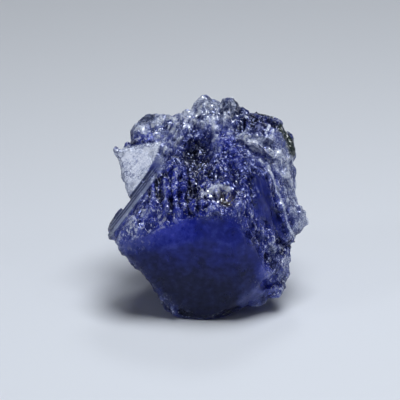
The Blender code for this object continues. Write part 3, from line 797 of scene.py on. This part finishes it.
class Nodes:
    """Makes the nodes of one material."""

    def __init__(self, name):
        self.material = bpy.data.materials.new(name)
        self.material.use_nodes = True
        self.tree = self.material.node_tree
        self.tree.nodes.clear()

    def make(self, kind, settings, sockets, output=0):
        """Adds one node with its settings, then plugs or sets its sockets, and gives one of its outputs."""
        node = self.tree.nodes.new(kind)
        for name, value in settings.items():
            if name == "stops":
                set_stops(node.color_ramp, value)
            else:
                setattr(node, name, value)
        for name, value in sockets.items():
            if isinstance(value, Field):
                self.tree.links.new(value.socket, node.inputs[name])
            else:
                node.inputs[name].default_value = value
        return Field(self, node.outputs[output] if node.outputs else None)

    def mask(self, name):
        return self.make("ShaderNodeAttribute", {"attribute_name": name}, {}, "Fac")

    def place(self):
        return self.make("ShaderNodeTexCoord", {}, {}, "Object")

    def noise(self, length, detail, squeeze):
        """Smooth noise from 0 to 1 with lumps of that length in millimetres."""
        place = self.vector("MULTIPLY", self.place(), squeeze)
        sockets = {"Vector": place, "Scale": 1 / (length * MM), "Detail": detail}
        return self.make("ShaderNodeTexNoise", {}, sockets, "Fac")

    def cracks(self, length, width):
        """How near a crack runs, from 0 to 1, between grains of that length in millimetres."""
        sockets = {"Vector": self.place(), "Scale": 1 / (length * MM)}
        edge = self.make("ShaderNodeTexVoronoi", {"feature": "DISTANCE_TO_EDGE"}, sockets, "Distance")
        return 1.0 - edge.rising(0.0, width)

    def lines(self, across, length, detail):
        """Straight fine lines, from 0 to 1, that follow one another in the direction across."""
        along = self.vector("DOT_PRODUCT", self.place(), across, "Value")
        sockets = {"W": along * (1 / (length * MM)), "Scale": 1.0, "Detail": detail}
        return self.make("ShaderNodeTexNoise", {"noise_dimensions": "1D"}, sockets, "Fac")

    def vector(self, operation, first, second, output="Vector"):
        return self.make("ShaderNodeVectorMath", {"operation": operation}, {0: first, 1: second}, output)

    def facets(self, length, stretch):
        """Small flat crystal faces: a chance value for each, and how far it stands out in metres."""
        place = self.vector("MULTIPLY", self.place(), [1 / (length * MM * part) for part in stretch])
        cell = self.make("ShaderNodeTexVoronoi", {}, {"Vector": place, "Scale": 1.0}, "Color")
        middle = Field(self, cell.socket.node.outputs["Position"])
        lean = self.vector("SUBTRACT", cell, (0.5, 0.5, 0.5))
        height = self.vector("DOT_PRODUCT", self.vector("SUBTRACT", place, middle), lean, "Value")
        return self.make("ShaderNodeSeparateColor", {}, {0: cell}), height * length * MM

    def mix(self, share, first, second):
        """One colour turning into another, through the sockets that the Mix node keeps for colours."""
        settings = {"data_type": "RGBA", "clamp_factor": True}
        return self.make("ShaderNodeMix", settings, {0: share, 6: opaque(first), 7: opaque(second)}, 2)

    def finish(self, sockets):
        self.make("ShaderNodeOutputMaterial", {}, sockets)
        return self.material


def set_stops(ramp, stops):
    while len(ramp.elements) < len(stops):
        ramp.elements.new(0.5)
    for element, (position, colour) in zip(ramp.elements, stops):
        element.position = position
        element.color = opaque(colour)


def opaque(colour):
    return colour if isinstance(colour, Field) else (*colour, 1.0)


def skin_masks(nodes):
    """What the mesh says of each point: the painted masks, and how the skin is carved there."""
    names = (*UNTOUCHED, *STANDING_OUT, "broken", "strip", "across")
    return SimpleNamespace(**{name: nodes.mask(name) for name in names})


def skin_textures(nodes):
    """The noises of the material and its smallest crystal faces."""
    textures = {name: nodes.noise(*shape) - 0.5 for name, shape in SWINGING.items()}
    textures.update({name: nodes.noise(*shape) for name, shape in RISING.items()})
    textures["large"], textures["large_height"] = nodes.facets(*LARGE_FACETS)
    textures["small"], textures["small_height"] = nodes.facets(*SMALL_FACETS)
    return SimpleNamespace(**textures)


def stone_tone(nodes, mask, texture):
    """How light the stone is, from 0, nearly black, to 1, frost white, with painted light and shade in it.
    """
    scratches = (nodes.lines(*SCRATCHES) - 0.5) * mask.tone.rising(*SCRATCHED_TONE)
    clean = (
        CLEAN_SHADES["mottle"] * texture.mottle + CLEAN_SHADES["scratches"] * scratches
        + CLEAN_SHADES["grit"] * mask.tone * mask.tone * texture.grit
    )
    tone = mask.tone + CLOUD_SHADE * texture.cloud + (1.0 - mask.broken) * clean
    # Painted light and shade: lighter on crests and bulges, darker in the crevices between them; on the
    # crests also frosty edges.
    relief = BROKEN_SHADES["crest"] * mask.crest + BROKEN_SHADES["bulge"] * mask.bulge
    broken = (
        BROKEN_SHADES["streak"] * texture.streak + BROKEN_SHADES["large"] * (texture.large - 0.5)
        + BROKEN_SHADES["grit"] * texture.grit + (1.0 - tone) * relief
    )
    tone = tone + mask.broken * broken
    tone = tone + mask.strip * (mask.across.shaded(STRIP_SHADES) - tone)
    return tone - CRACK_SHADE * (mask.cracked * nodes.cracks(*CRACKS))


def frost_and_glint_share(mask, texture):
    """How much frost lies on the skin, partly real frost and partly painted sparkle: patches, hair-thin
    chips and glints on the crests, the glints being painted highlights.
    """
    speckle = (
        texture.speck + SPECKLE["grit"] * texture.grit + SPECKLE["crest"] * mask.crest
        + SPECKLE["sparkle"] * mask.sparkle + SPECKLE["cloud"] * texture.cloud
        + SPECKLE["streak"] * texture.streak
    )
    hair = 1.0 - texture.fibre.apart(0.5) * 2.0 + SPARKLE_CHIPS["sparkle"] * mask.sparkle
    sparkle_chips = hair.rising(*SPARKLE_CHIPS["hair"]) * speckle.rising(*SPARKLE_CHIPS["speckle"])
    crests = (mask.crest + GLINTS["speck"] * texture.speck).rising(*GLINTS["crest"])
    # Painted highlights: single small crest faces are glints in frost white.
    glints = (texture.small + GLINTS["sparkle"] * mask.sparkle).rising(*GLINTS["face"]) * crests
    frost_and_glint = speckle.rising(*FROST_AND_GLINT_PATCHES).larger(sparkle_chips * SPARKLE_CHIPS["frost_and_glint"])
    frost_and_glint = frost_and_glint.larger(glints * mask.sparkle * GLINTS["frost_and_glint"])
    return frost_and_glint * mask.broken.larger((mask.sparkle - CLEAN_FROST_AND_GLINT["above"]) * CLEAN_FROST_AND_GLINT["rise"])


def stone_colour(nodes, finish, mask, texture, tone, frost_and_glint):
    """Steel grey to royal blue, as light as the tone says, under the grey grains, the frost with its painted
    glints, and the skin.
    """
    steel, royal = (
        tone.coloured([(0.0, finish.hollow_and_shade), *middles, (FRINGE_TONE, fringe), (FROST_AND_GLINT_TONE, finish.frost_and_glint)])
        for middles, fringe in ((STEEL, finish.silver), (ROYAL, finish.lavender))
    )
    colour = nodes.mix(mask.blueness * (1.0 - STRIP_GREYNESS * mask.strip), steel, royal)
    colour = nodes.mix(mask.grain * texture.speck.rising(*GRAINY), colour, finish.grain)
    colour = nodes.mix(frost_and_glint, colour, finish.frost_and_glint)
    return nodes.mix(mask.skin, colour, finish.skin)


def skin_bump(nodes, mask, texture):
    """The crystal faces and the ripple that are too fine for the mesh."""
    faces = (texture.large_height + texture.small_height) * mask.broken
    ripple = (texture.speck + texture.cloud + texture.mottle) * RIPPLE * MM
    sockets = {"Strength": BUMP_STRENGTH, "Distance": 1.0, "Height": faces + ripple}
    return nodes.make("ShaderNodeBump", {}, sockets)


def crystal_material(finish):
    """Clear crystal, duller where its faces are clean, under a cover where it is light, frosted or dark; the
    frost is partly painted glints.
    """
    nodes = Nodes("tanzanite")
    mask = skin_masks(nodes)
    texture = skin_textures(nodes)
    tone = stone_tone(nodes, mask, texture)
    frost_and_glint = frost_and_glint_share(mask, texture)
    roughness = ROUGHNESS["clean"] + ROUGHNESS["cloud"] * texture.cloud - ROUGHNESS["broken"] * mask.broken
    stone = {
        "Base Color": stone_colour(nodes, finish, mask, texture, tone, frost_and_glint),
        "Roughness": roughness,
        "IOR": finish.refraction,
        "Normal": skin_bump(nodes, mask, texture),
    }
    crystal = {**stone, "Transmission Weight": finish.clearness}
    dull = {"Specular Tint": (*finish.sheen, 1.0), "Specular IOR Level": CLEAN_MIRROR}
    bright = {"Specular Tint": (*finish.glint, 1.0)}
    metal = {"Metallic": frost_and_glint * FROST_AND_GLINT_METAL}
    clean, chipped, covered = (
        nodes.make("ShaderNodeBsdfPrincipled", {}, sockets)
        for sockets in ({**crystal, **dull}, {**crystal, **bright}, {**stone, **metal})
    )
    clear = nodes.make("ShaderNodeMixShader", {}, {0: mask.broken, 1: clean, 2: chipped})
    cover = (tone.rising(*COVERED_TONE) * COVER["light"]).larger(frost_and_glint * COVER["frost_and_glint"])
    cover = cover.larger(mask.skin).larger(mask.grain * COVER["grain"])
    surface = nodes.make("ShaderNodeMixShader", {}, {0: cover, 1: clear, 2: covered})
    depths = {"Color": (*finish.absorbed, 1.0), "Density": finish.density}
    volume = nodes.make("ShaderNodeVolumeAbsorption", {}, depths)
    return nodes.finish({"Surface": surface, "Volume": volume})


class TANZANITE_OT_crystal(bpy.types.Operator):
    """Carve the fine skin of the crystal and give it its finish"""

    bl_idname = "tanzanite.crystal"
    bl_label = "Make Crystal"

    def execute(self, context):
        sizes = context.scene.tanzanite_sizes
        obj = lump_copy()
        wrap(obj, sizes.spacing / MM)
        smooth_clean_faces(obj)
        carve(obj, sizes)
        paint_masks(obj)
        thin_out(obj, sizes.triangles)
        obj.data.transform(LAYOUT)
        for vert in obj.data.vertices:
            vert.co.z = max(vert.co.z, 0.0)
        obj.data.materials.clear()
        obj.data.materials.append(crystal_material(context.scene.tanzanite_finish))
        obj.data.shade_smooth()
        obj.data.set_sharp_from_angle(angle=SHARP_ANGLE)
        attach(obj, "root")
        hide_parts(NODE)
        return {"FINISHED"}


def floor_material(studio):
    nodes = Nodes("floor")
    depth = nodes.make("ShaderNodeSeparateXYZ", {}, {0: nodes.place()}, "Y")
    away = nodes.make("ShaderNodeVectorMath", {"operation": "LENGTH"}, {0: nodes.place()}, "Value")
    paper = {
        # Painted shade: darker behind the stone, for the light falling off.
        "Base Color": nodes.mix(depth.rising(*FAR_FLOOR), studio.near, studio.far),
        "Roughness": FLOOR_ROUGHNESS,
        "Specular IOR Level": FLOOR_SPECULAR,
        "Emission Color": nodes.mix(away.rising(*FLOOR_GLOW), (0.0, 0.0, 0.0), studio.glow),
        "Emission Strength": 1.0,
    }
    return nodes.finish({"Surface": nodes.make("ShaderNodeBsdfPrincipled", {}, paper)})


def round_floor(studio):
    """A wide plain floor with a low rim, painted darker behind the stone, which glows faintly where the
    lights don't reach.
    """
    shape = bmesh.new()
    bmesh.ops.create_circle(shape, cap_ends=True, segments=FLOOR_SIDES, radius=FLOOR_RADIUS)
    rim = [edge for edge in shape.edges if edge.is_boundary]
    raised = bmesh.ops.extrude_edge_only(shape, edges=rim)["geom"]
    verts = [part for part in raised if isinstance(part, bmesh.types.BMVert)]
    bmesh.ops.translate(shape, vec=(0, 0, RIM_HEIGHT), verts=verts)
    mesh = bpy.data.meshes.new("floor")
    shape.to_mesh(mesh)
    shape.free()
    mesh.materials.append(floor_material(studio))
    floor = bpy.data.objects.new("floor", mesh)
    bpy.context.scene.collection.objects.link(floor)


def softbox(name, place, size, radiance):
    """A square area light that faces the stone, as bright as its radiance says."""
    light = bpy.data.lights.new(name, "AREA")
    light.shape = "SQUARE"
    light.size = size
    light.energy = radiance * math.pi * size * size
    light.color = LIGHT_COLOUR
    obj = bpy.data.objects.new(name, light)
    obj.location = place
    aim = Vector(AIM) - Vector(place)
    obj.rotation_euler = aim.to_track_quat("-Z", "Y").to_euler()
    bpy.context.scene.collection.objects.link(obj)


def faint_sky():
    world = bpy.data.worlds.new("studio")
    world.use_nodes = True
    sky = world.node_tree.nodes["Background"].inputs
    sky["Color"].default_value = SKY_COLOUR
    sky["Strength"].default_value = SKY_STRENGTH
    bpy.context.scene.world = world


def front_camera(studio):
    """The camera that looks along the layout's view."""
    camera = bpy.data.cameras.new("camera")
    camera.sensor_width = SENSOR_WIDTH
    camera.lens = studio.lens
    camera.clip_start = NEAREST_SEEN
    obj = bpy.data.objects.new("camera", camera)
    across, up, out = VIEW_CENTRE
    obj.location = LAYOUT @ Vector((across, up, out + studio.distance / MM))
    obj.rotation_euler = (math.pi / 2 - VIEW_TILT, 0, 0)
    bpy.context.scene.collection.objects.link(obj)
    bpy.context.scene.camera = obj


class TANZANITE_OT_stage(bpy.types.Operator):
    """Set the floor, the lights and the camera"""

    bl_idname = "tanzanite.stage"
    bl_label = "Set Stage"

    def execute(self, context):
        studio = context.scene.tanzanite_studio
        round_floor(studio)
        for name, (place, size, radiance) in LIGHTS.items():
            softbox(name, place, size, radiance)
        faint_sky()
        front_camera(studio)
        context.scene.view_settings.view_transform = "Standard"
        return {"FINISHED"}


class TANZANITE_PT_sidebar(bpy.types.Panel):
    """The stone's steps and settings"""

    bl_label = "Rough Tanzanite"
    bl_space_type = "VIEW_3D"
    bl_region_type = "UI"
    bl_category = "Tanzanite"

    def draw(self, context):
        layout = self.layout
        for group, operator in (
            (context.scene.tanzanite_sizes, None),
            (context.scene.tanzanite_finish, "tanzanite.crystal"),
            (context.scene.tanzanite_studio, "tanzanite.stage"),
        ):
            for name in group.__annotations__:
                layout.prop(group, name)
            if operator:
                layout.operator(operator)


CLASSES = (
    CrystalSizes, CrystalFinish, StudioSettings, TANZANITE_OT_crystal, TANZANITE_OT_stage,
    TANZANITE_PT_sidebar,
)


def register():
    for made in CLASSES:
        bpy.utils.register_class(made)
    bpy.types.Scene.tanzanite_sizes = PointerProperty(type=CrystalSizes)
    bpy.types.Scene.tanzanite_finish = PointerProperty(type=CrystalFinish)
    bpy.types.Scene.tanzanite_studio = PointerProperty(type=StudioSettings)


def unregister():
    del bpy.types.Scene.tanzanite_studio
    del bpy.types.Scene.tanzanite_finish
    del bpy.types.Scene.tanzanite_sizes
    for made in reversed(CLASSES):
        bpy.utils.unregister_class(made)


def main():
    register()
    bpy.ops.tanzanite.crystal()
    bpy.ops.tanzanite.stage()


if __name__ == "__main__":
    main()
